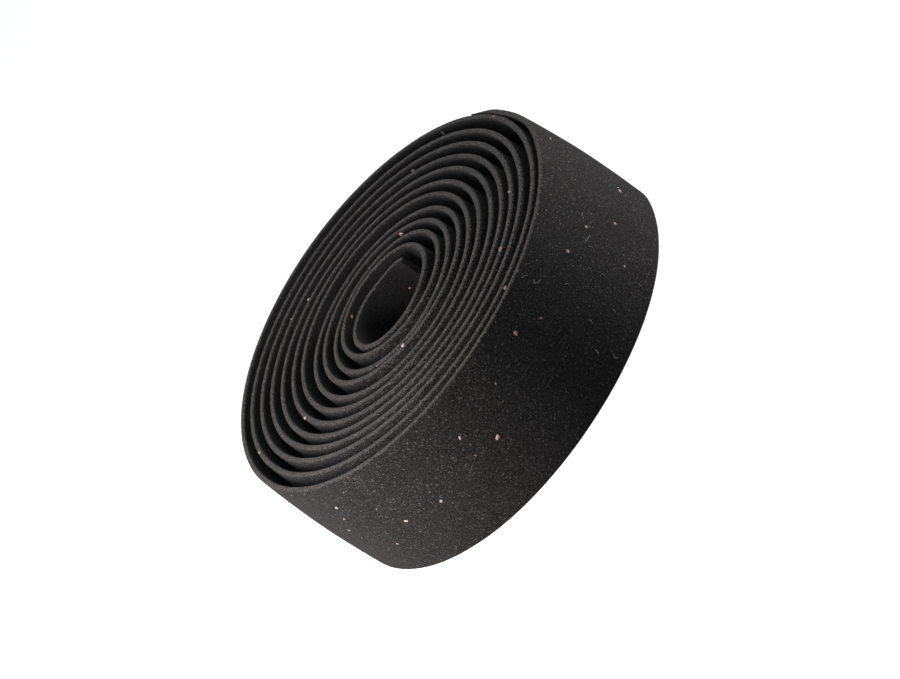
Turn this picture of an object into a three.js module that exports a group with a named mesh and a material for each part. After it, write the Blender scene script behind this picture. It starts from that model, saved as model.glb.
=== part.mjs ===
// Handlebar tape roll: one long strip of soft cork foam tape, wound flat on itself with no core.
// It lies on one end. Millimetres, +Z up along the roll's axis, origin under the middle of the roll.
import * as THREE from 'three';

// The strip: a flat back, and a face that swells from the thin cut edges to a crown along its middle.
const tape_width = 30;
const edge_thickness = 1.2;
const edge_chamfer = 0.25;
const crown_height = 0.55;
const crown_shoulder = 6;

// The winding: an even spiral followed by the middle of the strip's edge, from the inner end outwards.
const turns = 11.97;
const start_radius = 8.85;
const start_angle = THREE.MathUtils.degToRad(34);
const edge_gap = 1.71;
const crown_clearance = 0.3;
const release_length = 0.05;
const facets_per_turn = 36;

// Where the winding lies off that spiral: turns from the inner end, then how far outwards as a share of
// the gap. The first loops are squashed to an oval and the next ones are slack on alternate sides, the
// middle of the roll is nearly even, and the last two turns stand away on one side.
const slack_points = [
  [0, 0.4], [0.13, -0.6], [0.45, 0.35], [0.74, -0.85],
  [1.08, 0.95], [1.65, -0.5], [2, 0.6], [2.23, -0.15],
  [2.58, 0.45], [2.75, -0.05], [2.95, 0.35], [3.4, 0.1],
  [3.64, -0.45], [3.9, 0.35], [4.17, -0.3], [4.55, 0.45],
  [4.78, 0.15], [5.15, 0.8], [5.4, 0.3], [5.7, 0.2],
  [6.2, 0.55], [6.4, 0.3], [6.8, 0.6], [7.1, 0.35],
  [7.28, 0.55], [7.55, 0.25], [7.8, 0.65], [8, 0.35],
  [8.28, 0.7], [8.48, 0.1], [8.8, 0.6], [9, 0.35],
  [9.27, 0.75], [9.52, 0], [9.8, 0.55], [9.98, 0.35],
  [10.27, 0.8], [10.42, 0.3], [10.78, 0.85], [11, 0.55],
  [11.2, 1.1], [11.38, 0.4], [11.58, 0.95], [11.72, 0.65],
  [11.87, 0.45], [11.94, -0.25], [11.97, -0.3],
];

// The outer end lies close along its upper edge, and its lower edge stands off by this much more. Its last
// few millimetres are pinched thin, down to this share of the thickness.
const end_lift = 1.1;
const lift_start = 11.6;
const lift_full = 11.82;
const end_thinness = 0.3;
const thin_start = 11.92;

const spacing = edge_thickness + edge_gap;

// A smooth run from each slack point to the next, level at both, and level beyond the first and the last.
function slack_at(turn) {
  const next = slack_points.findIndex(([place]) => place > turn);
  if (next < 1) {
    return slack_points.at(next)[1];
  }
  const [place_before, slack_before] = slack_points[next - 1];
  const [place_after, slack_after] = slack_points[next];
  const along = THREE.MathUtils.smoothstep(turn, place_before, place_after);
  return THREE.MathUtils.lerp(slack_before, slack_after, along);
}

function radius_at(turn) {
  return start_radius + spacing * turn + edge_gap * slack_at(turn);
}

function winding_point(turn) {
  const angle = start_angle + 2 * Math.PI * turn;
  const radius = radius_at(turn);
  return new THREE.Vector2(radius * Math.cos(angle), radius * Math.sin(angle));
}

// The level direction out of the strip's face, square to the winding.
function outward_at(turn) {
  const step = 0.01;
  const along = winding_point(turn + step).sub(winding_point(turn - step)).normalize();
  return new THREE.Vector2(along.y, -along.x);
}

// How much of its crown the strip keeps. Where the next turn lies close the soft face is pressed flatter,
// and it springs free again one turn before the outer end.
function crown_share(turn) {
  const gap = radius_at(turn + 1) - radius_at(turn) - edge_thickness;
  const pressed = THREE.MathUtils.clamp((gap - crown_clearance) / crown_height, 0, 1);
  const free = THREE.MathUtils.smoothstep(turn, turns - 1, turns - 1 + release_length);
  return THREE.MathUtils.lerp(pressed, 1, free);
}

// How far the loose outer end is lifted, from nothing along its upper edge to all of it along the lower one.
function lift_at(turn, level) {
  const loose = THREE.MathUtils.smoothstep(turn, lift_start, lift_full);
  return end_lift * loose * (1 - level / tape_width);
}

// How thick the strip is, as a share of its whole thickness.
function thickness_share(turn) {
  return THREE.MathUtils.lerp(1, end_thinness, THREE.MathUtils.smoothstep(turn, thin_start, turns));
}

// The strip's section as it lies flat on its back, with its width along x.
function strip_section() {
  const far = tape_width;
  const middle = far / 2;
  const top = edge_thickness + crown_height;
  const section = new THREE.Shape();
  section.moveTo(0, 0);
  section.lineTo(far, 0);
  section.lineTo(far, edge_thickness - edge_chamfer);
  section.lineTo(far - edge_chamfer, edge_thickness);
  section.quadraticCurveTo(far - crown_shoulder, top, middle, top);
  section.quadraticCurveTo(crown_shoulder, top, edge_chamfer, edge_thickness);
  section.lineTo(0, edge_thickness - edge_chamfer);
  section.closePath();
  return section;
}

// Where each facet of the strip starts, in turns. A facet turns less where the radius is larger, so that
// all of them stand about equally far off the true curve.
function facet_starts() {
  const count = Math.round(facets_per_turn * turns);
  const first = start_radius ** 1.5;
  const last = (start_radius + spacing * turns) ** 1.5;
  const starts = [];
  for (let facet = 0; facet <= count; facet += 1) {
    const radius = THREE.MathUtils.lerp(first, last, facet / count) ** (2 / 3);
    starts.push((radius - start_radius) / spacing);
  }
  return starts;
}

// The flat strip is extruded one unit for each facet, and then each of its points is wound into place.
function wound_strip() {
  const starts = facet_starts();
  const facets = starts.length - 1;
  const flat_strip = { steps: facets, depth: facets, curveSegments: 3, bevelEnabled: false };
  const geometry = new THREE.ExtrudeGeometry(strip_section(), flat_strip);
  const points = geometry.getAttribute('position');
  for (let i = 0; i < points.count; i += 1) {
    const turn = starts[Math.round(points.getZ(i))];
    const level = points.getX(i);
    const height = points.getY(i);
    const crown = Math.max(height - edge_thickness, 0) * crown_share(turn);
    const above_back = (Math.min(height, edge_thickness) + crown) * thickness_share(turn);
    const offset = above_back - edge_thickness / 2 + lift_at(turn, level);
    const place = winding_point(turn).addScaledVector(outward_at(turn), offset);
    points.setXYZ(i, place.x, place.y, level);
  }
  return geometry;
}

// Puts the middle of the roll's outline over the origin.
function centred(geometry) {
  geometry.computeBoundingBox();
  const middle = geometry.boundingBox.getCenter(new THREE.Vector3());
  geometry.translate(-middle.x, -middle.y, 0);
  geometry.computeVertexNormals();
  return geometry;
}

const cork_foam = new THREE.MeshStandardMaterial({ color: '#32302f', roughness: 0.9, metalness: 0 });

const bar_tape = new THREE.Mesh(centred(wound_strip()), cork_foam);
bar_tape.name = 'bar_tape';

const group = new THREE.Group();
group.add(bar_tape);

export default group;
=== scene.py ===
"""A roll of handlebar tape: one strip of black cork foam wound flat on itself, on a pale floor."""

import math
import random

import bpy
from mathutils import Matrix, Vector
from mathutils.bvhtree import BVHTree


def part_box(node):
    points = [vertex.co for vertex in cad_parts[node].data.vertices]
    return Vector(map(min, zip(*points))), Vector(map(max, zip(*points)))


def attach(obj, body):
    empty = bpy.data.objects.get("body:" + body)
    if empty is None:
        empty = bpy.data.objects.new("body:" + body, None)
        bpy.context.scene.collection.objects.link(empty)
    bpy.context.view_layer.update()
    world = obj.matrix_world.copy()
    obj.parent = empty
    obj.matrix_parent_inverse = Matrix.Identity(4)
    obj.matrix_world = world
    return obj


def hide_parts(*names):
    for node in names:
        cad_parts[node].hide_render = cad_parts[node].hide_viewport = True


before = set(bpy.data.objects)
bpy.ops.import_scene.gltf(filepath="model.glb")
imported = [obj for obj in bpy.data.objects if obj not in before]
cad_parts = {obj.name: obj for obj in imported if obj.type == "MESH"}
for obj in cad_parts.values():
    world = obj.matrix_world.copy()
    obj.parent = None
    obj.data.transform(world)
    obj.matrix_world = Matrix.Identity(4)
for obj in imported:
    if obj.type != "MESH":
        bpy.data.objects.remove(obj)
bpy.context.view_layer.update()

bl_info = {
    "name": "Handlebar tape roll",
    "version": (1, 0, 0),
    "blender": (4, 5, 0),
    "location": "3D View > Sidebar > Tape roll",
    "description": "Winds a roll of cork foam handlebar tape and sets its cork flecks and lint",
    "category": "Object",
}

MM = 0.001
TAPE_NODE = "bar_tape"
ROLL_LOW, ROLL_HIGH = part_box(TAPE_NODE)

# Where the winding lies off an even spiral: turns from the inner end, then how far outwards as a share of
# the gap. The first loops are squashed to an oval and the next ones are slack on alternate sides, the
# middle of the roll is nearly even, and the last two turns stand away on one side.
SLACK_POINTS = (
    (0, 0.4), (0.13, -0.6), (0.45, 0.35), (0.74, -0.85),
    (1.08, 0.95), (1.65, -0.5), (2, 0.6), (2.23, -0.15),
    (2.58, 0.45), (2.75, -0.05), (2.95, 0.35), (3.4, 0.1),
    (3.64, -0.45), (3.9, 0.35), (4.17, -0.3), (4.55, 0.45),
    (4.78, 0.15), (5.15, 0.8), (5.4, 0.3), (5.7, 0.2),
    (6.2, 0.55), (6.4, 0.3), (6.8, 0.6), (7.1, 0.35),
    (7.28, 0.55), (7.55, 0.25), (7.8, 0.65), (8, 0.35),
    (8.28, 0.7), (8.48, 0.1), (8.8, 0.6), (9, 0.35),
    (9.27, 0.75), (9.52, 0), (9.8, 0.55), (9.98, 0.35),
    (10.27, 0.8), (10.42, 0.3), (10.78, 0.85), (11, 0.55),
    (11.2, 1.1), (11.38, 0.4), (11.58, 0.95), (11.72, 0.65),
    (11.87, 0.45), (11.94, -0.38), (11.97, -0.4),
)

# The photograph's frame, and the view that it was taken from.
PHOTO_WIDTH = 900
PHOTO_HEIGHT = 679
PIXELS_PER_METRE = 5112
VIEW_ELEVATION = math.radians(25.7)
VIEW_ROLL = math.radians(55.4)
VIEW_DISTANCE = 4.0
VIEW_TARGET = Vector((-0.00046, 0.00014, 0.01415))
SENSOR_WIDTH = 36.0

# Cork flecks where the photograph shows them: across and down in its pixels, width in millimetres, how long
# for its width, and how pale from rust to cream.
SEEN_FLECKS = (
    (567.5, 252, 0.75, 1.2, 0.5), (586, 227, 0.6, 1.1, 0.85), (615, 224, 0.7, 1.1, 0.95),
    (619.6, 191, 0.6, 1.8, 0.9), (541, 318, 0.45, 1.1, 0.3), (516, 333, 0.85, 1.3, 0.25),
    (498, 437, 0.95, 1.2, 0.5), (460, 438, 0.45, 1.9, 0.75), (441, 501, 0.6, 1.2, 1.0),
    (406, 521, 0.7, 1.2, 1.0), (397.5, 544, 0.5, 1.2, 0.9), (337, 508, 0.5, 1.2, 1.0),
    (344, 519, 0.35, 1.1, 0.75), (349, 530, 0.45, 1.2, 0.9), (362, 538, 0.3, 1.1, 0.6),
    (291, 495.5, 0.25, 1.3, 0.75), (551, 139, 0.5, 1.2, 0.65), (624.5, 266.5, 0.5, 1.2, 0.8),
    (495.5, 384, 0.4, 1.2, 0.7), (453, 458, 0.3, 1.2, 0.5), (475.5, 455.5, 0.35, 1.2, 0.8),
    (376.5, 509, 0.2, 1.2, 0.8), (618, 187.5, 0.35, 1.4, 0.8), (343.5, 492.5, 0.2, 1.1, 0.7),
    (500.5, 249, 0.8, 1.4, 0.3), (505, 287.5, 0.5, 1.8, 0.85), (509, 191.5, 0.45, 1.4, 0.8),
    (493.5, 116.5, 0.45, 1.4, 0.6), (443, 133, 0.6, 1.4, 0.7), (413, 171, 0.75, 1.5, 0.8),
    (401.5, 234, 0.8, 1.3, 0.4), (410, 288, 0.5, 1.1, 0.4), (352, 316.5, 0.55, 1.4, 0.35),
    (308.5, 299.5, 0.5, 1.5, 0.6), (291.5, 319, 0.35, 1.3, 0.8), (305, 418, 0.5, 1.3, 0.85),
    (259.5, 452.5, 0.5, 1.3, 0.9), (403, 345.5, 0.7, 1.5, 1.0),
)

# Lint where the photograph shows it: across and down of both ends in its pixels, and how much it bends.
SEEN_LINT = (
    (521.5, 278, 527.5, 275, 0.15), (534.5, 279.5, 537, 282.5, -1.6), (588.8, 236, 584.3, 242.8, 0.1),
    (588.8, 267.5, 591.5, 272.5, 0.1), (602, 273.5, 605.5, 277.5, 0.1), (564.5, 284.5, 568, 283.5, 0.1),
    (587.5, 246.5, 591, 246.8, 0.1), (582, 212.5, 581.5, 216, 0.1), (588.5, 320, 593, 324, 0.25),
    (614, 353, 618, 357.5, -0.9), (558, 167, 560.5, 171.5, 0.2), (612.5, 309, 615.5, 313, 0.2),
    (595.5, 350, 598.5, 354, 0.15), (582, 238, 586, 241, 0.4), (537.5, 283.5, 541, 279.5, 0.1),
)

# The side that the photograph doesn't show: where its flecks and lint may lie, from +X towards +Y and as a
# share of the height, then a fleck's width in millimetres, its length for its width and its tone, and the
# length of a lint fibre in millimetres and its bend.
HIDDEN_AZIMUTHS = (math.radians(12), math.radians(168))
HIDDEN_LEVELS = (0.04, 0.96)
FLECK_WIDTHS = (0.35, 0.85)
FLECK_LENGTHS = (1.0, 1.8)
FLECK_TONES = (0.2, 1.0)
LINT_LENGTHS = (0.7, 1.6)
LINT_BENDS = (0.2, 1.0)

# How deep a fleck is for its width, how finely its surface is broken, and over what length a strip wanders.
FLECK_DEPTH = 0.55
FLECK_RAGGED_LENGTH = 0.5 * MM
WANDER_LENGTH = 9 * MM

# How far the ends of a lint fibre's line lie above the foam, and how much higher its middle is.
LINT_LIFT = 0.04 * MM
LINT_ARCH = 0.08 * MM

# The two colour inputs and the colour output of a Mix node, which share their names with its other ones.
MIX_A = 6
MIX_B = 7
MIX_RESULT = 2


def linear(hex_colour):
    """The linear colour of an sRGB hex value."""
    channels = (int(hex_colour[i:i + 2], 16) / 255 for i in (1, 3, 5))
    return tuple(c / 12.92 if c <= 0.04045 else ((c + 0.055) / 1.055) ** 2.4 for c in channels)


def add_node(tree, kind, *inputs, named=None, **settings):
    """Adds a node with its settings. Its inputs are values or links, in their order or by name."""
    node = tree.nodes.new(kind)
    for name, setting in settings.items():
        setattr(node, name, setting)
    for socket, given in (*enumerate(inputs), *(named or {}).items()):
        if isinstance(given, bpy.types.NodeSocket):
            tree.links.new(given, node.inputs[socket])
        else:
            node.inputs[socket].default_value = given
    return node


class TapeStripSettings(bpy.types.PropertyGroup):
    """Sizes of the strip's section."""

    width: bpy.props.FloatProperty(
        name="Width",
        description="Width of the strip, from one cut edge to the other",
        default=ROLL_HIGH.z - ROLL_LOW.z,
        unit="LENGTH",
    )
    edge_thickness: bpy.props.FloatProperty(
        name="Edge thickness",
        description="Thickness of the foam at its cut edges",
        default=1.2 * MM,
        unit="LENGTH",
    )
    crown_height: bpy.props.FloatProperty(
        name="Crown height",
        description="How far the middle of the face stands above its edges",
        default=0.55 * MM,
        unit="LENGTH",
    )
    crown_power: bpy.props.FloatProperty(
        name="Crown power",
        description="How soon the face rises from its edge: 1 is straight to the middle, and more is sooner",
        default=1.7,
    )
    face_round: bpy.props.FloatProperty(
        name="Face rounding",
        description="Radius between the cut edge and the face",
        default=0.35 * MM,
        unit="LENGTH",
    )
    back_round: bpy.props.FloatProperty(
        name="Back rounding",
        description="Radius between the cut edge and the back",
        default=0.28 * MM,
        unit="LENGTH",
    )
    unevenness: bpy.props.FloatProperty(
        name="Unevenness",
        description="How far the soft strip wanders off its line",
        default=0.12 * MM,
        unit="LENGTH",
    )


class WindingSettings(bpy.types.PropertyGroup):
    """How the strip is wound."""

    turns: bpy.props.FloatProperty(
        name="Turns",
        description="Turns from the inner end to the outer end",
        default=11.97,
    )
    start_radius: bpy.props.FloatProperty(
        name="Start radius",
        description="Radius of the even spiral at the inner end",
        default=8.85 * MM,
        unit="LENGTH",
    )
    start_angle: bpy.props.FloatProperty(
        name="Start angle",
        description="Where the inner end lies, from +X towards +Y",
        default=math.radians(34),
        subtype="ANGLE",
    )
    edge_gap: bpy.props.FloatProperty(
        name="Edge gap",
        description="Mean gap between the cut edges of two turns",
        default=1.71 * MM,
        unit="LENGTH",
    )
    contact_gap: bpy.props.FloatProperty(
        name="Contact gap",
        description="Gap that is left where two turns press on each other",
        default=0.1 * MM,
        unit="LENGTH",
    )
    release_length: bpy.props.FloatProperty(
        name="Release length",
        description="Turns over which the crown springs back past the outer end",
        default=0.05,
    )
    end_lift: bpy.props.FloatProperty(
        name="End lift",
        description="How much further the outer end stands off along its lower edge",
        default=1.1 * MM,
        unit="LENGTH",
    )
    lift_start: bpy.props.FloatProperty(
        name="Lift start",
        description="Turns from the inner end where the lower edge starts to stand off",
        default=11.6,
    )
    lift_full: bpy.props.FloatProperty(
        name="Lift full",
        description="Turns from the inner end where the lower edge stands fully off",
        default=11.82,
    )
    end_thinness: bpy.props.FloatProperty(
        name="End thinness",
        description="Thickness of the pinched outer end, as a share of the strip's whole thickness",
        default=0.1,
    )
    thin_start: bpy.props.FloatProperty(
        name="Thin start",
        description="Turns from the inner end where the strip starts to thin towards its outer end",
        default=11.935,
    )
    facet_length: bpy.props.FloatProperty(
        name="Facet length",
        description="Length of one facet along the strip",
        default=1.15 * MM,
        unit="LENGTH",
    )


class FoamSettings(bpy.types.PropertyGroup):
    """Colours and grain of the foam."""

    skin_colour: bpy.props.FloatVectorProperty(
        name="Skin colour",
        description="Colour of the moulded face",
        default=linear("#242323"),
        subtype="COLOR",
        size=3,
    )
    # Darker and bluer than the skin: painted shade for the gaps between the turns, where the back lies in
    # shadow.
    shaded_back_colour: bpy.props.FloatVectorProperty(
        name="Shaded back colour",
        description="Colour of the smoother back",
        default=linear("#171618"),
        subtype="COLOR",
        size=3,
    )
    cut_colour: bpy.props.FloatVectorProperty(
        name="Cut colour",
        description="Colour of the open cells on the cut edges",
        default=linear("#504e4b"),
        subtype="COLOR",
        size=3,
    )
    cool_grain: bpy.props.FloatVectorProperty(
        name="Cool grain colour",
        description="Colour of the coolest pale grains in the foam",
        default=linear("#8494a0"),
        subtype="COLOR",
        size=3,
    )
    warm_grain: bpy.props.FloatVectorProperty(
        name="Warm grain colour",
        description="Colour of the warmest pale grains in the foam",
        default=linear("#a49788"),
        subtype="COLOR",
        size=3,
    )
    grain_size: bpy.props.FloatProperty(
        name="Grain size",
        description="Size of the cells that hold the foam's fine grains",
        default=0.37 * MM,
        unit="LENGTH",
    )
    speck_size: bpy.props.FloatProperty(
        name="Speck size",
        description="Size of the cells that hold the foam's larger specks",
        default=0.75 * MM,
        unit="LENGTH",
    )
    contrast: bpy.props.FloatProperty(
        name="Contrast",
        description="How far the foam's fine mottle goes above and below its mean",
        default=0.95,
    )
    pale_share: bpy.props.FloatProperty(
        name="Pale share",
        description="How much the palest grains show over the dark foam",
        default=0.7,
    )


class FleckSettings(bpy.types.PropertyGroup):
    """Ground cork in the foam's surface, and lint that clings to it."""

    hidden_flecks: bpy.props.IntProperty(
        name="Hidden flecks",
        description="Cork flecks on the side that the photograph doesn't show",
        default=30,
    )
    hidden_lint: bpy.props.IntProperty(
        name="Hidden lint",
        description="Lint fibres on the side that the photograph doesn't show",
        default=8,
    )
    seed: bpy.props.IntProperty(
        name="Seed",
        description="Seed of the flecks' and the lint's random places and turns",
        default=7,
    )
    raggedness: bpy.props.FloatProperty(
        name="Raggedness",
        description="How far a fleck's surface is pushed out of round",
        default=0.5 * MM,
        unit="LENGTH",
    )
    lint_radius: bpy.props.FloatProperty(
        name="Lint radius",
        description="Radius of one lint fibre, a few times the real one so that it shows",
        default=0.04 * MM,
        unit="LENGTH",
    )
    rust_colour: bpy.props.FloatVectorProperty(
        name="Rust colour",
        description="Colour of the darkest cork flecks",
        default=linear("#b8663c"),
        subtype="COLOR",
        size=3,
    )
    cream_colour: bpy.props.FloatVectorProperty(
        name="Cream colour",
        description="Colour of the palest cork flecks",
        default=linear("#ffece0"),
        subtype="COLOR",
        size=3,
    )


class StageSettings(bpy.types.PropertyGroup):
    """The floor and the light."""

    floor_colour: bpy.props.FloatVectorProperty(
        name="Floor colour",
        description="Colour of the floor",
        default=linear("#f2f2f2"),
        subtype="COLOR",
        size=3,
    )
    floor_size: bpy.props.FloatProperty(
        name="Floor size",
        description="Side of the square floor",
        default=4.0,
        unit="LENGTH",
    )
    bounce_colour: bpy.props.FloatVectorProperty(
        name="Bounce colour",
        description="Colour of the floor as the roll sees it, darker so that little light comes from below",
        default=linear("#4a4a4a"),
        subtype="COLOR",
        size=3,
    )
    floor_lift: bpy.props.FloatProperty(
        name="Floor lift",
        description="Light that the floor adds of its own, so that it reads white",
        default=0.9,
    )
    surround: bpy.props.FloatProperty(
        name="Surround",
        description="Strength of the even light from all round",
        default=0.05,
    )
    surround_colour: bpy.props.FloatVectorProperty(
        name="Surround colour",
        description="Colour of the even light from all round",
        default=linear("#c8d6ff"),
        subtype="COLOR",
        size=3,
    )


# Each lamp: its name, its azimuth from the camera's side towards +X and its elevation in degrees, its
# distance and the side of its square in metres, its power in watts, and its colour.
LAMPS = (
    ("left_low_softbox", -85, 8.8, 0.18, 0.08, 0.153, "#ffe9e4"),
    ("left_near_softbox", -54, 29, 0.146, 0.06, 0.14, "#fff6ea"),
    ("left_high_softbox", -50, 40, 0.28, 0.18, 0.17, "#deeaff"),
    ("right_low_softbox", 95, 6, 0.3, 0.09, 0.68, "#fffaf8"),
)


def smooth_run(value, low, high):
    """From 0 at low to 1 at high, level at both."""
    share = min(max((value - low) / (high - low), 0.0), 1.0)
    return share * share * (3 - 2 * share)


def slack_at(turn):
    """How far the strip lies outside the even spiral, as a share of the gap."""
    for (place_before, slack_before), (place_after, slack_after) in zip(SLACK_POINTS, SLACK_POINTS[1:]):
        if turn <= place_after:
            return slack_before + (slack_after - slack_before) * smooth_run(turn, place_before, place_after)
    return SLACK_POINTS[-1][1]


def radius_at(strip, winding, turn):
    """Radius of the middle of the strip's edge."""
    spacing = strip.edge_thickness + winding.edge_gap
    return winding.start_radius + spacing * turn + winding.edge_gap * slack_at(turn)


def winding_point(strip, winding, turn):
    """Where the middle of the strip's edge lies, seen from above."""
    angle = winding.start_angle + math.tau * turn
    radius = radius_at(strip, winding, turn)
    return Vector((radius * math.cos(angle), radius * math.sin(angle), 0))


def outward_at(strip, winding, turn):
    """The level direction out of the strip's face."""
    step = 0.01
    along = winding_point(strip, winding, turn + step) - winding_point(strip, winding, turn - step)
    return Vector((along.y, -along.x, 0)).normalized()


def crown_share(strip, winding, turn):
    """How much of its crown the strip keeps under the next turn, and all of it past the outer end."""
    gap = radius_at(strip, winding, turn + 1) - radius_at(strip, winding, turn) - strip.edge_thickness
    pressed = min(max((gap - winding.contact_gap) / strip.crown_height, 0.0), 1.0)
    release = winding.turns - 1
    free = smooth_run(turn, release, release + winding.release_length)
    return pressed + (1 - pressed) * free


def thickness_share(winding, turn):
    """How thick the strip is, as a share of its whole thickness."""
    return 1 - (1 - winding.end_thinness) * smooth_run(turn, winding.thin_start, winding.turns)


def facet_starts(strip, winding):
    """Where each facet starts, in turns, with all facets about equally long."""
    starts = [0.0]
    while starts[-1] < winding.turns:
        starts.append(starts[-1] + winding.facet_length / (math.tau * radius_at(strip, winding, starts[-1])))
    stretch = winding.turns / starts[-1]
    return [start * stretch for start in starts]


def points_object(name, points, edges, attributes):
    """Points as an object, with their attributes, for a node tree to work on."""
    mesh = bpy.data.meshes.new(name)
    mesh.from_pydata(points, edges, [])
    for attribute, kind, values in attributes:
        layer = mesh.attributes.new(attribute, kind, "POINT")
        for entry, value in zip(layer.data, values):
            if kind == "FLOAT":
                entry.value = value
            else:
                entry.vector = value
    carrier = bpy.data.objects.new(name, mesh)
    bpy.context.scene.collection.objects.link(carrier)
    return carrier


def route_object(strip, winding):
    """The line that the middle of the strip's edge follows."""
    turns = facet_starts(strip, winding)
    points = [winding_point(strip, winding, turn) for turn in turns]
    lift = [winding.end_lift * smooth_run(turn, winding.lift_start, winding.lift_full) for turn in turns]
    return points_object(
        "tape_route",
        points,
        [(i, i + 1) for i in range(len(points) - 1)],
        (
            ("place", "FLOAT_VECTOR", points),
            ("outward", "FLOAT_VECTOR", [outward_at(strip, winding, turn) for turn in turns]),
            ("share", "FLOAT", [crown_share(strip, winding, turn) for turn in turns]),
            ("lift", "FLOAT", lift),
            ("thickness", "FLOAT", [thickness_share(winding, turn) for turn in turns]),
        ),
    )


def half_section(strip):
    """One half of the section, from the middle of the back round a cut edge to the middle of the face.

    Each point is its distance from the edge, its height above the back, its part of the crown and how
    much of it is cut foam. The face counts as 0, and the back as -1.
    """
    middle = strip.width / 2
    back, face = strip.back_round, strip.face_round
    flat_edge = strip.edge_thickness - face - back
    back_shares = (1.0, 0.6, 0.3, 0.12, 0.04)
    edge_shares = (0.35, 0.7)
    corner_steps = 4
    face_steps = 11
    crowding = 1.6
    points = [(share * middle, 0.0, 0.0, -1.0) for share in back_shares]
    for step in range(corner_steps):
        done = step / (corner_steps - 1)
        turned = math.pi / 2 * done
        points.append((back * (1 - math.sin(turned)), back * (1 - math.cos(turned)), 0.0, 2 * done - 1))
    for share in edge_shares:
        points.append((0.0, back + flat_edge * share, 0.0, 1.0))
    for step in range(corner_steps + 1):
        turned = math.pi / 2 * step / corner_steps
        inset = face * (1 - math.cos(turned))
        height = strip.edge_thickness - face * (1 - math.sin(turned))
        points.append((inset, height, 0.0, math.cos(turned) ** 2))
    for step in range(1, face_steps + 1):
        share = (step / face_steps) ** crowding
        crown = strip.crown_height * (1 - (1 - share) ** strip.crown_power)
        points.append((face + (middle - face) * share, strip.edge_thickness, crown, 0.0))
    return points


def section_object(strip):
    """The strip's whole section, both halves, as a closed line."""
    half = half_section(strip)
    other = [(strip.width - inset, height, crown, cut) for inset, height, crown, cut in reversed(half[1:-1])]
    points = half + other
    return points_object(
        "tape_section",
        [(across, height, 0.0) for across, height, _, _ in points],
        [(i, (i + 1) % len(points)) for i in range(len(points))],
        (
            ("across", "FLOAT", [across for across, _, _, _ in points]),
            ("lower", "FLOAT", [1 - across / strip.width for across, _, _, _ in points]),
            ("height", "FLOAT", [height for _, height, _, _ in points]),
            ("crown", "FLOAT", [crown for _, _, crown, _ in points]),
            ("cut", "FLOAT", [cut for _, _, _, cut in points]),
        ),
    )


def new_tree(name, inputs):
    """A geometry node tree with its named inputs and one geometry output, and its input node."""
    tree = bpy.data.node_groups.new(name, "GeometryNodeTree")
    tree.interface.new_socket("Geometry", in_out="INPUT", socket_type="NodeSocketGeometry")
    for socket, kind in inputs:
        tree.interface.new_socket(socket, in_out="INPUT", socket_type=kind)
    tree.interface.new_socket("Geometry", in_out="OUTPUT", socket_type="NodeSocketGeometry")
    return tree, add_node(tree, "NodeGroupInput").outputs


def finish_tree(tree, geometry, material):
    """Ends a tree in smooth real geometry with its material."""
    real = add_node(tree, "GeometryNodeRealizeInstances", named={"Geometry": geometry})
    smooth = add_node(tree, "GeometryNodeSetShadeSmooth", named={"Geometry": real.outputs[0]})
    dressed = add_node(
        tree, "GeometryNodeSetMaterial", named={"Geometry": smooth.outputs[0], "Material": material}
    )
    add_node(tree, "NodeGroupOutput", dressed.outputs[0])


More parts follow.
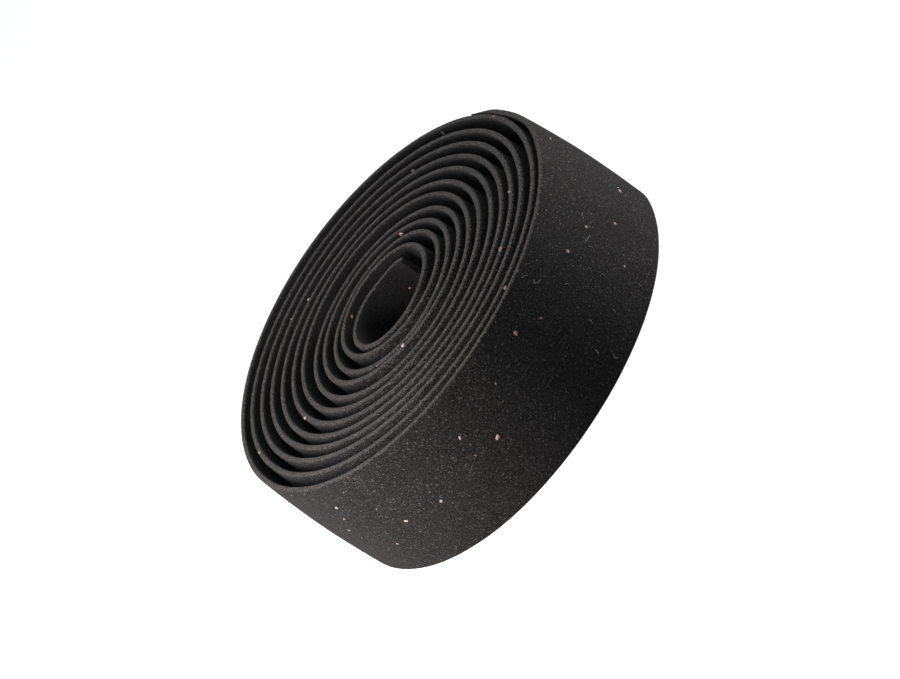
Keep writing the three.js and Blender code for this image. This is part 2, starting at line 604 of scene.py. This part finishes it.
def wound_strip_tree(material):
    """Sweeps the section along the route, presses the crown, lifts the end and lets the strip wander."""
    tree, given = new_tree(
        "Wound strip",
        (
            ("Section", "NodeSocketObject"),
            ("Edge thickness", "NodeSocketFloat"),
            ("Unevenness", "NodeSocketFloat"),
        ),
    )
    route = add_node(tree, "GeometryNodeMeshToCurve", named={"Mesh": given["Geometry"]})
    section = add_node(tree, "GeometryNodeObjectInfo", named={"Object": given["Section"]})
    outline = add_node(tree, "GeometryNodeMeshToCurve", named={"Mesh": section.outputs["Geometry"]})
    swept = add_node(
        tree,
        "GeometryNodeCurveToMesh",
        named={
            "Curve": route.outputs["Curve"],
            "Profile Curve": outline.outputs["Curve"],
            "Fill Caps": True,
        },
    )
    carried = {}
    for kind, names in (
        ("FLOAT", ("crown", "share", "height", "thickness", "lift", "lower", "across")),
        ("FLOAT_VECTOR", ("place", "outward")),
    ):
        for name in names:
            reader = add_node(tree, "GeometryNodeInputNamedAttribute", name, data_type=kind)
            carried[name] = reader.outputs["Attribute"]
    crowned = add_node(
        tree,
        "ShaderNodeMath",
        carried["crown"],
        carried["share"],
        carried["height"],
        operation="MULTIPLY_ADD",
    )
    to_back = add_node(tree, "ShaderNodeMath", given["Edge thickness"], -0.5, operation="MULTIPLY")
    thick = add_node(
        tree,
        "ShaderNodeMath",
        crowned.outputs[0],
        carried["thickness"],
        to_back.outputs[0],
        operation="MULTIPLY_ADD",
    )
    lifted = add_node(
        tree, "ShaderNodeMath", carried["lift"], carried["lower"], thick.outputs[0], operation="MULTIPLY_ADD"
    )
    off_line = add_node(
        tree,
        "ShaderNodeVectorMath",
        carried["outward"],
        named={"Scale": lifted.outputs[0]},
        operation="SCALE",
    )
    wound = add_node(tree, "ShaderNodeVectorMath", carried["place"], off_line.outputs[0], operation="ADD")
    level = add_node(tree, "ShaderNodeCombineXYZ", named={"Z": carried["across"]})
    at_level = add_node(tree, "ShaderNodeVectorMath", wound.outputs[0], level.outputs[0], operation="ADD")
    placed = add_node(
        tree,
        "GeometryNodeSetPosition",
        named={"Geometry": swept.outputs["Mesh"], "Position": at_level.outputs[0]},
    )
    here = add_node(tree, "GeometryNodeInputPosition")
    wander = add_node(
        tree,
        "ShaderNodeTexNoise",
        named={"Vector": here.outputs[0], "Scale": 1 / WANDER_LENGTH, "Detail": 1.0},
    )
    either_way = add_node(tree, "ShaderNodeMath", wander.outputs[0], 0.5, operation="SUBTRACT")
    drift = add_node(
        tree, "ShaderNodeMath", either_way.outputs[0], given["Unevenness"], operation="MULTIPLY"
    )
    shift = add_node(
        tree,
        "ShaderNodeVectorMath",
        carried["outward"],
        named={"Scale": drift.outputs[0]},
        operation="SCALE",
    )
    uneven = add_node(
        tree, "GeometryNodeSetPosition", named={"Geometry": placed.outputs[0], "Offset": shift.outputs[0]}
    )
    facing_out = add_node(tree, "GeometryNodeFlipFaces", named={"Mesh": uneven.outputs[0]})
    finish_tree(tree, facing_out.outputs[0], material)
    return tree


def flecks_tree(material):
    """Sets a rounded chip on each point, turned the way it lies on the face, and makes each one uneven.

    The ball that each chip starts as is one metre across, so that a point's extent is the chip's own size.
    """
    tree, given = new_tree("Cork flecks", (("Raggedness", "NodeSocketFloat"),))
    chip = add_node(tree, "GeometryNodeMeshIcoSphere", named={"Radius": 0.5, "Subdivisions": 3})
    carried = {}
    for name in ("facing", "along", "extent"):
        reader = add_node(tree, "GeometryNodeInputNamedAttribute", name, data_type="FLOAT_VECTOR")
        carried[name] = reader.outputs["Attribute"]
    turned = add_node(
        tree,
        "FunctionNodeAxesToRotation",
        named={"Primary Axis": carried["facing"], "Secondary Axis": carried["along"]},
        primary_axis="Z",
        secondary_axis="X",
    )
    points = add_node(tree, "GeometryNodeMeshToPoints", named={"Mesh": given["Geometry"]})
    spread = add_node(
        tree,
        "GeometryNodeInstanceOnPoints",
        named={
            "Points": points.outputs[0],
            "Instance": chip.outputs["Mesh"],
            "Rotation": turned.outputs[0],
            "Scale": carried["extent"],
        },
    )
    real = add_node(tree, "GeometryNodeRealizeInstances", named={"Geometry": spread.outputs[0]})
    here = add_node(tree, "GeometryNodeInputPosition")
    ragged = add_node(
        tree,
        "ShaderNodeTexNoise",
        named={"Vector": here.outputs[0], "Scale": 1 / FLECK_RAGGED_LENGTH, "Detail": 2.0},
    )
    any_way = add_node(
        tree, "ShaderNodeVectorMath", ragged.outputs["Color"], (0.5, 0.5, 0.5), operation="SUBTRACT"
    )
    shift = add_node(
        tree,
        "ShaderNodeVectorMath",
        any_way.outputs[0],
        named={"Scale": given["Raggedness"]},
        operation="SCALE",
    )
    uneven = add_node(
        tree, "GeometryNodeSetPosition", named={"Geometry": real.outputs[0], "Offset": shift.outputs[0]}
    )
    finish_tree(tree, uneven.outputs[0], material)
    return tree


def fibres_tree(material):
    """Sweeps a six-sided section of one radius along each fibre."""
    tree, given = new_tree("Lint", (("Radius", "NodeSocketFloat"),))
    fibres = add_node(tree, "GeometryNodeMeshToCurve", named={"Mesh": given["Geometry"]})
    section = add_node(
        tree, "GeometryNodeCurvePrimitiveCircle", named={"Resolution": 6, "Radius": given["Radius"]}
    )
    swept = add_node(
        tree,
        "GeometryNodeCurveToMesh",
        named={
            "Curve": fibres.outputs["Curve"],
            "Profile Curve": section.outputs["Curve"],
            "Fill Caps": True,
        },
    )
    finish_tree(tree, swept.outputs["Mesh"], material)
    return tree


def run_tree(carrier, tree, values):
    """Runs a tree on an object and returns the plain mesh that it makes. The carrier is deleted."""
    modifier = carrier.modifiers.new(tree.name, "NODES")
    modifier.node_group = tree
    for item in tree.interface.items_tree:
        if item.in_out == "INPUT" and item.name in values:
            modifier[item.identifier] = values[item.name]
    bpy.context.view_layer.update()
    depsgraph = bpy.context.evaluated_depsgraph_get()
    mesh = bpy.data.meshes.new_from_object(carrier.evaluated_get(depsgraph))
    bpy.data.objects.remove(carrier)
    if not mesh.polygons:
        raise RuntimeError(f"{tree.name} made no faces")
    return mesh


def centre_on_roll(mesh):
    """Moves the wound strip to the middle of the roll's box, with its lower edge on the box's floor."""
    corners = [vertex.co for vertex in mesh.vertices]
    middle_x = (min(c.x for c in corners) + max(c.x for c in corners)) / 2
    middle_y = (min(c.y for c in corners) + max(c.y for c in corners)) / 2
    roll_middle = (ROLL_LOW + ROLL_HIGH) / 2
    mesh.transform(Matrix.Translation((roll_middle.x - middle_x, roll_middle.y - middle_y, ROLL_LOW.z)))


def add_piece(name, mesh):
    """Puts a finished mesh in the scene as a piece that rides on the roll."""
    mesh.name = name
    piece = bpy.data.objects.new(name, mesh)
    bpy.context.scene.collection.objects.link(piece)
    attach(piece, "root")
    return piece


def new_material(name):
    """An empty material and its node tree."""
    material = bpy.data.materials.new(name)
    material.use_nodes = True
    material.node_tree.nodes.clear()
    return material, material.node_tree


def dark_foam(tree, foam, place, fine, side, cut, back):
    """The dark foam between the grains: a tone for each side, with a fine mottle and cloudy patches."""
    patch_size = 7 * MM
    patch_noise, patch_tones = (0.3, 0.7), (0.9, 1.1)
    mottle_noise, mottle_tones = (0.42, 0.58), (-foam.contrast, foam.contrast)
    back_to_face, back_to_face_share = (-1.0, 0.0), (0.6, 1.0)
    cloud = add_node(
        tree, "ShaderNodeTexNoise", named={"Vector": place, "Scale": 1 / patch_size, "Detail": 2.0}
    )
    patchy = add_node(tree, "ShaderNodeMapRange", cloud.outputs[0], *patch_noise, *patch_tones)
    mottle = add_node(tree, "ShaderNodeMapRange", fine, *mottle_noise, *mottle_tones)
    coarseness = add_node(tree, "ShaderNodeMapRange", side, *back_to_face, *back_to_face_share)
    contrast = add_node(
        tree, "ShaderNodeMath", mottle.outputs[0], coarseness.outputs[0], 1.0, operation="MULTIPLY_ADD"
    )
    shade = add_node(tree, "ShaderNodeMath", contrast.outputs[0], patchy.outputs[0], operation="MULTIPLY")
    # Skin colour on the face, back colour on the back; the back's darker, bluer colour is painted shade for
    # the gaps.
    moulded = add_node(
        tree,
        "ShaderNodeMix",
        back,
        named={MIX_A: (*foam.skin_colour, 1.0), MIX_B: (*foam.shaded_back_colour, 1.0)},
        data_type="RGBA",
    )
    whole = add_node(
        tree,
        "ShaderNodeMix",
        cut,
        named={MIX_A: moulded.outputs[MIX_RESULT], MIX_B: (*foam.cut_colour, 1.0)},
        data_type="RGBA",
    )
    shaded = add_node(
        tree,
        "ShaderNodeMix",
        1.0,
        named={MIX_A: whole.outputs[MIX_RESULT], MIX_B: shade.outputs[0]},
        data_type="RGBA",
        blend_type="MULTIPLY",
    )
    return shaded.outputs[MIX_RESULT]


def pale_grains(tree, foam, place, grains, cut, back):
    """How much a pale grain covers the dark foam at each place, and the grain's tint.

    Each cell holds one fine grain, and few of them are bright. A few larger cells also hold a speck. The
    cut edges show a few more of both, partly open cells and partly painted glints, and the back shows hardly
    any.
    """
    grain_rim, speck_rim = (0.5, 0.15), (0.32, 0.12)
    # On the cut edges more pale grains and specks show: partly open cells, partly painted glints.
    skin_rarity, cut_cells_and_glints_rarity = 5.0, 4.0
    speck_luck, cut_cells_and_glints_luck = (0.9, 0.99), 0.12
    back_share = 0.15
    specks = add_node(tree, "ShaderNodeTexVoronoi", named={"Vector": place, "Scale": 1 / foam.speck_size})
    chance = add_node(tree, "ShaderNodeSeparateColor", grains.outputs["Color"])
    luck = add_node(tree, "ShaderNodeSeparateColor", specks.outputs["Color"])
    grain_core = add_node(tree, "ShaderNodeMapRange", grains.outputs["Distance"], *grain_rim, 0.0, 1.0)
    speck_core = add_node(tree, "ShaderNodeMapRange", specks.outputs["Distance"], *speck_rim, 0.0, 1.0)
    # Cut edges get more bright grains and specks: partly open cells, partly painted glints.
    rarity = add_node(tree, "ShaderNodeMapRange", cut, 0.0, 1.0, skin_rarity, cut_cells_and_glints_rarity)
    bright = add_node(tree, "ShaderNodeMath", chance.outputs[0], rarity.outputs[0], operation="POWER")
    grain = add_node(tree, "ShaderNodeMath", bright.outputs[0], grain_core.outputs[0], operation="MULTIPLY")
    found = add_node(tree, "ShaderNodeMath", cut, cut_cells_and_glints_luck, luck.outputs[0], operation="MULTIPLY_ADD")
    held = add_node(tree, "ShaderNodeMapRange", found.outputs[0], *speck_luck, 0.0, 1.0)
    speck = add_node(tree, "ShaderNodeMath", held.outputs[0], speck_core.outputs[0], operation="MULTIPLY")
    either = add_node(tree, "ShaderNodeMath", grain.outputs[0], speck.outputs[0], operation="MAXIMUM")
    shown = add_node(
        tree, "ShaderNodeMapRange", back, 0.0, 1.0, foam.pale_share, back_share * foam.pale_share
    )
    cover = add_node(tree, "ShaderNodeMath", either.outputs[0], shown.outputs[0], operation="MULTIPLY")
    tint = add_node(
        tree,
        "ShaderNodeMix",
        chance.outputs[1],
        named={MIX_A: (*foam.cool_grain, 1.0), MIX_B: (*foam.warm_grain, 1.0)},
        data_type="RGBA",
    )
    return cover.outputs[0], tint.outputs[MIX_RESULT]


def foam_material(foam):
    """Closed-cell foam with ground cork in it: a dull, slightly velvety skin, dark with fine pale grains.

    The knife opens the cells along the cut edges, which look lighter and coarser than the skin, and the
    extra pale grains on them are partly open cells and partly painted glints. The back was pressed on a
    plate, so it is smoother; its darker, bluer colour is painted shade for the gaps between the turns, where
    it lies in shadow. The real foam's finest grains are too small to show, so the cells that hold them are
    drawn as coarse as the photograph shows its grain.
    """
    material, tree = new_material("cork_foam_moulded_and_slit")
    mottle_size = 0.75 * foam.grain_size
    relief_depth = 0.1 * MM
    grain_relief = -0.6
    place = add_node(tree, "ShaderNodeTexCoord").outputs["Object"]
    side = add_node(tree, "ShaderNodeAttribute", attribute_name="cut").outputs["Fac"]
    cut = add_node(tree, "ShaderNodeMapRange", side, 0.0, 1.0, 0.0, 1.0).outputs[0]
    back = add_node(tree, "ShaderNodeMapRange", side, 0.0, -1.0, 0.0, 1.0).outputs[0]
    grains = add_node(tree, "ShaderNodeTexVoronoi", named={"Vector": place, "Scale": 1 / foam.grain_size})
    fine = add_node(
        tree,
        "ShaderNodeTexNoise",
        named={"Vector": place, "Scale": 1 / mottle_size, "Detail": 1.5, "Roughness": 0.6},
    ).outputs[0]
    cover, tint = pale_grains(tree, foam, place, grains, cut, back)
    speckled = add_node(
        tree,
        "ShaderNodeMix",
        cover,
        named={MIX_A: dark_foam(tree, foam, place, fine, side, cut, back), MIX_B: tint},
        data_type="RGBA",
    )
    height = add_node(
        tree, "ShaderNodeMath", grains.outputs["Distance"], grain_relief, fine, operation="MULTIPLY_ADD"
    )
    relief = add_node(
        tree,
        "ShaderNodeBump",
        named={"Strength": 1.0, "Distance": relief_depth, "Height": height.outputs[0]},
    )
    surface = add_node(
        tree,
        "ShaderNodeBsdfPrincipled",
        named={
            "Base Color": speckled.outputs[MIX_RESULT],
            "Roughness": 0.9,
            "Specular IOR Level": 0.2,
            "Sheen Weight": 0.08,
            "Sheen Roughness": 0.5,
            "Normal": relief.outputs[0],
        },
    )
    add_node(tree, "ShaderNodeOutputMaterial", named={"Surface": surface.outputs[0]})
    return material


def cork_material(flecks):
    """Ground cork bark: dull, from rust brown to cream, and paler where the grain of the bark is cut."""
    material, tree = new_material("ground_cork_bark")
    bark_grain = 0.25 * MM
    bark_noise, bark_tones = (0.3, 0.7), (0.75, 1.1)
    place = add_node(tree, "ShaderNodeTexCoord").outputs["Object"]
    tone = add_node(tree, "ShaderNodeAttribute", attribute_name="tone").outputs["Fac"]
    bark = add_node(
        tree, "ShaderNodeTexNoise", named={"Vector": place, "Scale": 1 / bark_grain, "Detail": 2.0}
    )
    mottle = add_node(tree, "ShaderNodeMapRange", bark.outputs[0], *bark_noise, *bark_tones)
    cork = add_node(
        tree,
        "ShaderNodeMix",
        tone,
        named={MIX_A: (*flecks.rust_colour, 1.0), MIX_B: (*flecks.cream_colour, 1.0)},
        data_type="RGBA",
    )
    mottled = add_node(
        tree,
        "ShaderNodeMix",
        1.0,
        named={MIX_A: cork.outputs[MIX_RESULT], MIX_B: mottle.outputs[0]},
        data_type="RGBA",
        blend_type="MULTIPLY",
    )
    surface = add_node(
        tree,
        "ShaderNodeBsdfPrincipled",
        named={"Base Color": mottled.outputs[MIX_RESULT], "Roughness": 0.7},
    )
    add_node(tree, "ShaderNodeOutputMaterial", named={"Surface": surface.outputs[0]})
    return material


def lint_material():
    """Pale cotton lint: soft fibres, so thin that they only show as fine grey curls."""
    material, tree = new_material("cotton_lint")
    fibre_mottle = 0.4 * MM
    place = add_node(tree, "ShaderNodeTexCoord").outputs["Object"]
    thin = add_node(tree, "ShaderNodeTexNoise", named={"Vector": place, "Scale": 1 / fibre_mottle})
    grey = add_node(
        tree,
        "ShaderNodeMix",
        thin.outputs[0],
        named={MIX_A: (*linear("#8d959b"), 1.0), MIX_B: (*linear("#c3cacf"), 1.0)},
        data_type="RGBA",
    )
    surface = add_node(
        tree,
        "ShaderNodeBsdfPrincipled",
        named={"Base Color": grey.outputs[MIX_RESULT], "Roughness": 0.8, "Sheen Weight": 0.3},
    )
    add_node(tree, "ShaderNodeOutputMaterial", named={"Surface": surface.outputs[0]})
    return material


def view_axes():
    """The photograph's directions across, up and back towards the camera."""
    back = Vector((0, -math.cos(VIEW_ELEVATION), math.sin(VIEW_ELEVATION)))
    upright = (-back).to_track_quat("-Z", "Y")
    turned = (upright @ Matrix.Rotation(-VIEW_ROLL, 3, "Z").to_quaternion()).to_matrix()
    return turned.col[0].copy(), turned.col[1].copy(), back


def seen_ray(across, down):
    """Where the camera is, and the direction from it through a pixel of the photograph."""
    right, up, back = view_axes()
    eye = VIEW_TARGET + back * VIEW_DISTANCE
    shift_right = right * ((across - PHOTO_WIDTH / 2) / PIXELS_PER_METRE)
    shift_up = up * ((PHOTO_HEIGHT / 2 - down) / PIXELS_PER_METRE)
    return eye, (VIEW_TARGET + shift_right + shift_up - eye).normalized()


def bits_object(name, bits):
    """Points for the bits: each is its place, the face's and its own direction, its extent and its tone."""
    return points_object(
        name,
        [place for place, _, _, _, _ in bits],
        [],
        (
            ("facing", "FLOAT_VECTOR", [facing for _, facing, _, _, _ in bits]),
            ("along", "FLOAT_VECTOR", [along for _, _, along, _, _ in bits]),
            ("extent", "FLOAT_VECTOR", [extent for _, _, _, extent, _ in bits]),
            ("tone", "FLOAT", [tone for _, _, _, _, tone in bits]),
        ),
    )


def hidden_spots(surface, count, dice):
    """Random spots on the outer turn, on the side that the photograph doesn't show."""
    spots = []
    while len(spots) < count:
        azimuth = dice.uniform(*HIDDEN_AZIMUTHS)
        level = dice.uniform(*HIDDEN_LEVELS) * ROLL_HIGH.z
        outside = Vector((math.cos(azimuth), math.sin(azimuth), 0)) * 2 * ROLL_HIGH.x
        outside.z = level
        place, facing, _, _ = surface.ray_cast(outside, Vector((-outside.x, -outside.y, 0)).normalized())
        if place is not None:
            spots.append((place, facing))
    return spots


def any_way_along(facing, dice):
    """A random direction that lies in the face."""
    sideways = facing.orthogonal().normalized()
    return sideways @ Matrix.Rotation(dice.uniform(0, math.tau), 3, facing)


def seen_spot(surface, across, down):
    """The place on the foam behind a pixel of the photograph, and the face's direction there."""
    place, facing, _, _ = surface.ray_cast(*seen_ray(across, down))
    if place is None:
        raise RuntimeError(f"no foam lies behind the photograph's pixel {across}, {down}")
    return place, facing


def fleck_extent(width, length):
    """A chip lies flat in the foam, and only its upper part stands out."""
    return (width * length * MM, width * MM, FLECK_DEPTH * width * MM)


def fibre_points(start, end, facing, bend):
    """Points along a fibre that bends sideways over the face and rises a little in its middle."""
    steps = 8
    reach = end - start
    sideways = facing.cross(reach) * bend / 2
    points = []
    for step in range(steps + 1):
        share = step / steps
        bulge = 4 * share * (1 - share)
        points.append(start + reach * share + sideways * bulge + facing * (LINT_LIFT + LINT_ARCH * bulge))
    return points


def fibres_object(fibres):
    """The fibres' lines as one object."""
    points = [point for fibre in fibres for point in fibre]
    edges = []
    first = 0
    for fibre in fibres:
        edges += [(first + i, first + i + 1) for i in range(len(fibre) - 1)]
        first += len(fibre)
    return points_object("lint_lines", points, edges, ())


def add_floor(stage):
    """A wide square floor under the roll."""
    half = stage.floor_size / 2
    mesh = bpy.data.meshes.new("floor")
    corners = [(-half, -half, 0), (half, -half, 0), (half, half, 0), (-half, half, 0)]
    mesh.from_pydata(corners, [], [(0, 1, 2, 3)])
    mesh.materials.append(floor_material(stage))
    floor = bpy.data.objects.new("floor", mesh)
    bpy.context.scene.collection.objects.link(floor)


def floor_material(stage):
    """Matt white paint with a glow of its own, so that it reads white and only a deep shadow shows, faintly.

    All but the camera see it without the glow and in a darker tone.
    """
    material, tree = new_material("matt_white_paint")
    paint = add_node(tree, "ShaderNodeBsdfDiffuse", (*stage.floor_colour, 1.0))
    bounce = add_node(tree, "ShaderNodeBsdfDiffuse", (*stage.bounce_colour, 1.0))
    glow = add_node(tree, "ShaderNodeEmission", named={"Strength": stage.floor_lift})
    lifted = add_node(tree, "ShaderNodeAddShader", paint.outputs[0], glow.outputs[0])
    rays = add_node(tree, "ShaderNodeLightPath")
    shown = add_node(
        tree, "ShaderNodeMixShader", rays.outputs["Is Camera Ray"], bounce.outputs[0], lifted.outputs[0]
    )
    add_node(tree, "ShaderNodeOutputMaterial", named={"Surface": shown.outputs[0]})
    return material


def add_lamp(name, azimuth, elevation, distance, size, power, colour):
    """A soft square lamp that looks at the roll. Azimuth 0 is on the camera's side, and 90 is +X."""
    turn, rise = math.radians(azimuth), math.radians(elevation)
    away = Vector((math.sin(turn) * math.cos(rise), -math.cos(turn) * math.cos(rise), math.sin(rise)))
    light = bpy.data.lights.new(name, "AREA")
    light.size = size
    light.energy = power
    light.color = linear(colour)
    lamp = bpy.data.objects.new(name, light)
    lamp.location = VIEW_TARGET + away * distance
    lamp.rotation_mode = "QUATERNION"
    lamp.rotation_quaternion = (-away).to_track_quat("-Z", "Y")
    bpy.context.scene.collection.objects.link(lamp)


def light_world(strength, colour):
    """An even, faintly blue surrounding that the camera sees as white."""
    world = bpy.data.worlds.new("studio")
    world.use_nodes = True
    tree = world.node_tree
    tree.nodes.clear()
    rays = add_node(tree, "ShaderNodeLightPath").outputs
    mirrored = add_node(
        tree, "ShaderNodeMath", rays["Is Camera Ray"], rays["Is Glossy Ray"], operation="MAXIMUM"
    )
    seen = add_node(
        tree, "ShaderNodeMath", mirrored.outputs[0], rays["Is Transmission Ray"], operation="MAXIMUM"
    )
    glow = add_node(tree, "ShaderNodeBackground", (*colour, 1.0), strength)
    white = add_node(tree, "ShaderNodeBackground", (1, 1, 1, 1))
    shown = add_node(tree, "ShaderNodeMixShader", seen.outputs[0], glow.outputs[0], white.outputs[0])
    add_node(tree, "ShaderNodeOutputWorld", named={"Surface": shown.outputs[0]})
    bpy.context.scene.world = world


def add_camera():
    """A long lens at the photograph's viewing angle, rolled so that the roll's axis points up and left."""
    right, up, back = view_axes()
    data = bpy.data.cameras.new("camera")
    data.sensor_width = SENSOR_WIDTH
    data.lens = SENSOR_WIDTH * VIEW_DISTANCE * PIXELS_PER_METRE / PHOTO_WIDTH
    data.clip_start = VIEW_DISTANCE / 100
    data.clip_end = VIEW_DISTANCE * 10
    camera = bpy.data.objects.new("camera", data)
    camera.matrix_world = Matrix.Translation(VIEW_TARGET + back * VIEW_DISTANCE) @ Matrix(
        (right, up, back)
    ).transposed().to_4x4()
    bpy.context.scene.collection.objects.link(camera)
    bpy.context.scene.camera = camera


class TAPE_OT_set_stage(bpy.types.Operator):
    """Set the floor, the lamps and the camera"""

    bl_idname = "tape_roll.set_stage"
    bl_label = "Set the stage"

    def execute(self, context):
        stage = context.scene.tape_stage
        add_camera()
        add_floor(stage)
        for lamp in LAMPS:
            add_lamp(*lamp)
        light_world(stage.surround, stage.surround_colour)
        context.scene.view_settings.view_transform = "Standard"
        return {"FINISHED"}


class TAPE_OT_wind_strip(bpy.types.Operator):
    """Wind the strip of tape into its roll"""

    bl_idname = "tape_roll.wind_strip"
    bl_label = "Wind the strip"

    def execute(self, context):
        strip = context.scene.tape_strip
        section = section_object(strip)
        tree = wound_strip_tree(foam_material(context.scene.tape_foam))
        route = route_object(strip, context.scene.tape_winding)
        given = {
            "Section": section,
            "Edge thickness": strip.edge_thickness,
            "Unevenness": strip.unevenness,
        }
        mesh = run_tree(route, tree, given)
        bpy.data.objects.remove(section)
        centre_on_roll(mesh)
        tape = add_piece("wound_tape", mesh)
        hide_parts(TAPE_NODE)
        return {"FINISHED"}


class TAPE_OT_set_flecks(bpy.types.Operator):
    """Set the cork flecks in the foam"""

    bl_idname = "tape_roll.set_flecks"
    bl_label = "Set the cork flecks"

    def execute(self, context):
        flecks = context.scene.tape_flecks
        tape = bpy.data.objects["wound_tape"]
        surface = BVHTree.FromObject(tape, context.evaluated_depsgraph_get())
        dice = random.Random(flecks.seed)
        bits = []
        for across, down, width, length, tone in SEEN_FLECKS:
            place, facing = seen_spot(surface, across, down)
            along = any_way_along(facing, dice)
            bits.append((place, facing, along, fleck_extent(width, length), tone))
        for place, facing in hidden_spots(surface, flecks.hidden_flecks, dice):
            extent = fleck_extent(dice.uniform(*FLECK_WIDTHS), dice.uniform(*FLECK_LENGTHS))
            along = any_way_along(facing, dice)
            bits.append((place, facing, along, extent, dice.uniform(*FLECK_TONES)))
        tree = flecks_tree(cork_material(flecks))
        mesh = run_tree(bits_object("fleck_points", bits), tree, {"Raggedness": flecks.raggedness})
        add_piece("cork_flecks", mesh)
        return {"FINISHED"}


class TAPE_OT_set_lint(bpy.types.Operator):
    """Set the lint that clings to the foam"""

    bl_idname = "tape_roll.set_lint"
    bl_label = "Set the lint"

    def execute(self, context):
        flecks = context.scene.tape_flecks
        tape = bpy.data.objects["wound_tape"]
        surface = BVHTree.FromObject(tape, context.evaluated_depsgraph_get())
        dice = random.Random(flecks.seed + 1)
        fibres = []
        for from_across, from_down, to_across, to_down, bend in SEEN_LINT:
            start, facing = seen_spot(surface, from_across, from_down)
            end, _ = seen_spot(surface, to_across, to_down)
            fibres.append(fibre_points(start, end, facing, bend))
        for place, facing in hidden_spots(surface, flecks.hidden_lint, dice):
            reach = any_way_along(facing, dice) * dice.uniform(*LINT_LENGTHS) * MM
            fibres.append(fibre_points(place, place + reach, facing, dice.uniform(*LINT_BENDS)))
        mesh = run_tree(fibres_object(fibres), fibres_tree(lint_material()), {"Radius": flecks.lint_radius})
        add_piece("lint", mesh)
        return {"FINISHED"}


class TAPE_PT_sidebar(bpy.types.Panel):
    """Lists the steps and the sizes of the roll"""

    bl_idname = "TAPE_PT_sidebar"
    bl_label = "Tape roll"
    bl_space_type = "VIEW_3D"
    bl_region_type = "UI"
    bl_category = "Tape roll"

    def draw(self, context):
        layout = self.layout
        for operator in OPERATORS:
            layout.operator(operator.bl_idname)
        for name, group in SETTINGS:
            box = layout.box()
            for setting in group.__annotations__:
                box.prop(getattr(context.scene, name), setting)


SETTINGS = (
    ("tape_strip", TapeStripSettings),
    ("tape_winding", WindingSettings),
    ("tape_foam", FoamSettings),
    ("tape_flecks", FleckSettings),
    ("tape_stage", StageSettings),
)
OPERATORS = (TAPE_OT_set_stage, TAPE_OT_wind_strip, TAPE_OT_set_flecks, TAPE_OT_set_lint)


def register():
    for name, group in SETTINGS:
        bpy.utils.register_class(group)
        setattr(bpy.types.Scene, name, bpy.props.PointerProperty(type=group))
    for operator in OPERATORS:
        bpy.utils.register_class(operator)
    bpy.utils.register_class(TAPE_PT_sidebar)


def unregister():
    bpy.utils.unregister_class(TAPE_PT_sidebar)
    for operator in reversed(OPERATORS):
        bpy.utils.unregister_class(operator)
    for name, group in reversed(SETTINGS):
        delattr(bpy.types.Scene, name)
        bpy.utils.unregister_class(group)


def main():
    register()
    bpy.ops.tape_roll.set_stage()
    bpy.ops.tape_roll.wind_strip()
    bpy.ops.tape_roll.set_flecks()
    bpy.ops.tape_roll.set_lint()


if __name__ == "__main__":
    main()
